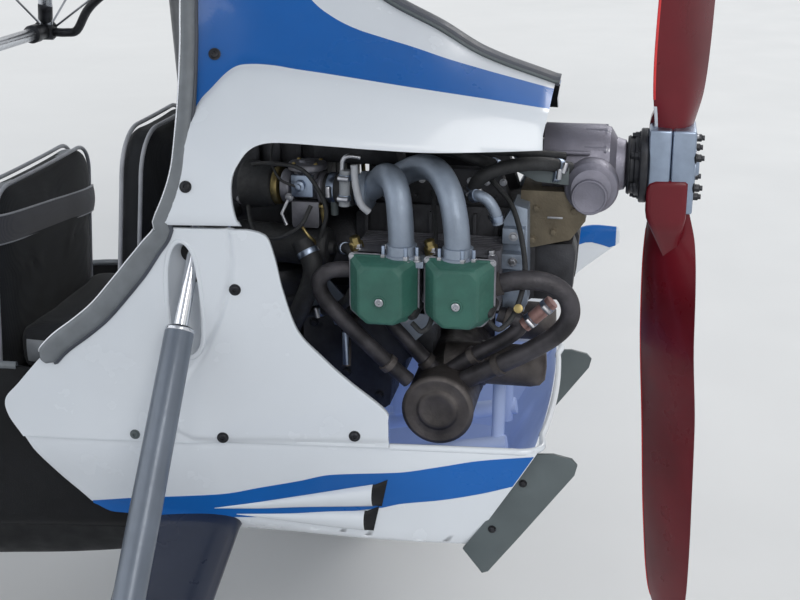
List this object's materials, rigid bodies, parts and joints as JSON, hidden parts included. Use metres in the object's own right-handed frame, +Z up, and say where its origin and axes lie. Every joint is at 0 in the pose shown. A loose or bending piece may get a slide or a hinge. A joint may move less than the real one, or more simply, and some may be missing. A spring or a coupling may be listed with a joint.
{
  "type": "weight-shift microlight trike",
  "caption": "Two-seat trike with a hollow pod, faired wheels, a flat-four engine with a pusher propeller, and a braced flexwing.",
  "frame": {"origin": "on the ground under the middle of the bounding box", "axes": "+X forward to the nose, +Y to the pilot's left, +Z up"},
  "size_m": [3.5, 10, 3.44],
  "materials": {
    "tyre": "matte",
    "rim_alloy": "satin",
    "white_shell": "gloss",
    "blue_shell": "gloss",
    "black_composite": "satin",
    "smoked_glass": "gloss",
    "frame_alloy": "satin",
    "machined_alloy": "satin",
    "navy_composite": "gloss",
    "steel": "satin",
    "chrome": "polished",
    "strut_paint": "satin",
    "fork_paint": "satin",
    "seat_cloth": "matte",
    "engine_alloy": "satin",
    "green_cover": "satin",
    "intake_alloy": "satin",
    "black_can": "satin",
    "black_pipe": "satin",
    "black_steel": "satin",
    "red_blade": "gloss",
    "sail_cloth": "satin",
    "wing_alloy": "satin",
    "stay_wire": "satin",
    "grey_tube": "satin",
    "dark_trim": "satin",
    "grey_trim": "gloss"
  },
  "bodies": {
    "trike": {"rear_tub": "white_shell", "side_panel_left": "blue_shell", "side_panel_right": "blue_shell", "upper_fairing": "blue_shell", "under_hull": "black_composite", "nose_fairing": "white_shell", "windscreen": "smoked_glass", "instrument_panel": "black_composite", "frame": "frame_alloy", "mast": "frame_alloy", "mast_head": "machined_alloy", "front_strut": "frame_alloy", "strut_beam": "frame_alloy", "leg_blades": "navy_composite", "axles": "steel", "spats": "white_shell", "strut_rods": "chrome", "strut_cylinders": "strut_paint", "seat_shell": "black_composite", "front_seat_base": "seat_cloth", "front_seat_back": "seat_cloth", "rear_seat_base": "seat_cloth", "rear_seat_back": "seat_cloth", "crankcase": "engine_alloy", "cylinders": "engine_alloy", "valve_covers": "green_cover", "gearbox": "engine_alloy", "intake_pipes": "intake_alloy", "carburettors": "engine_alloy", "muffler": "black_can", "exhaust_pipes": "black_pipe", "engine_mounts": "frame_alloy", "oil_tank": "black_composite", "breather_cans": "black_composite", "edge_tubes": "grey_tube", "ridge_strip": "dark_trim", "tail_fins": "grey_trim"},
    "wheel_left": {"wheel_left_tyre": "tyre", "wheel_left_rim": "rim_alloy"},
    "wheel_right": {"wheel_right_tyre": "tyre", "wheel_right_rim": "rim_alloy"},
    "front_wheel": {"front_wheel_tyre": "tyre", "front_wheel_rim": "rim_alloy"},
    "fork": {"fork": "fork_paint", "mudguard": "black_composite", "foot_bar": "machined_alloy"},
    "propeller": {"propeller_hub": "machined_alloy", "propeller_flange": "black_steel", "propeller_blades": "red_blade"},
    "hang_block": {"hang_block": "machined_alloy"},
    "wing": {"sail": "sail_cloth", "keel": "wing_alloy", "kingpost": "wing_alloy", "upright_left": "wing_alloy", "upright_right": "wing_alloy", "base_bar": "wing_alloy", "stays": "stay_wire", "hang_bracket": "machined_alloy"}
  },
  "joints": [
    {"name": "wheel_left_spin", "type": "hinge", "parent": "trike", "child": "wheel_left", "pos_m": [-0.24, 0.85, 0.2], "axis": [0, 1, 0], "continuous": true},
    {"name": "wheel_right_spin", "type": "hinge", "parent": "trike", "child": "wheel_right", "pos_m": [-0.24, -0.85, 0.2], "axis": [0, 1, 0], "continuous": true},
    {"name": "steering", "type": "hinge", "parent": "trike", "child": "fork", "pos_m": [1.42502, 0, 0.2], "axis": [-0.309, 0, 0.9511], "range_deg": [-22, 22]},
    {"name": "front_wheel_spin", "type": "hinge", "parent": "fork", "child": "front_wheel", "pos_m": [1.45, 0, 0.2], "axis": [0, 1, 0], "continuous": true},
    {"name": "propeller_spin", "type": "hinge", "parent": "trike", "child": "propeller", "pos_m": [-1, 0, 1.105], "axis": [1, 0, 0], "continuous": true},
    {"name": "wing_roll", "type": "hinge", "parent": "trike", "child": "hang_block", "pos_m": [-0.155, 0, 2.36], "axis": [1, 0, 0], "range_deg": [-15, 15]},
    {"name": "wing_pitch", "type": "hinge", "parent": "hang_block", "child": "wing", "pos_m": [-0.155, 0, 2.45], "axis": [0, 1, 0], "range_deg": [-8, 8]}
  ]
}
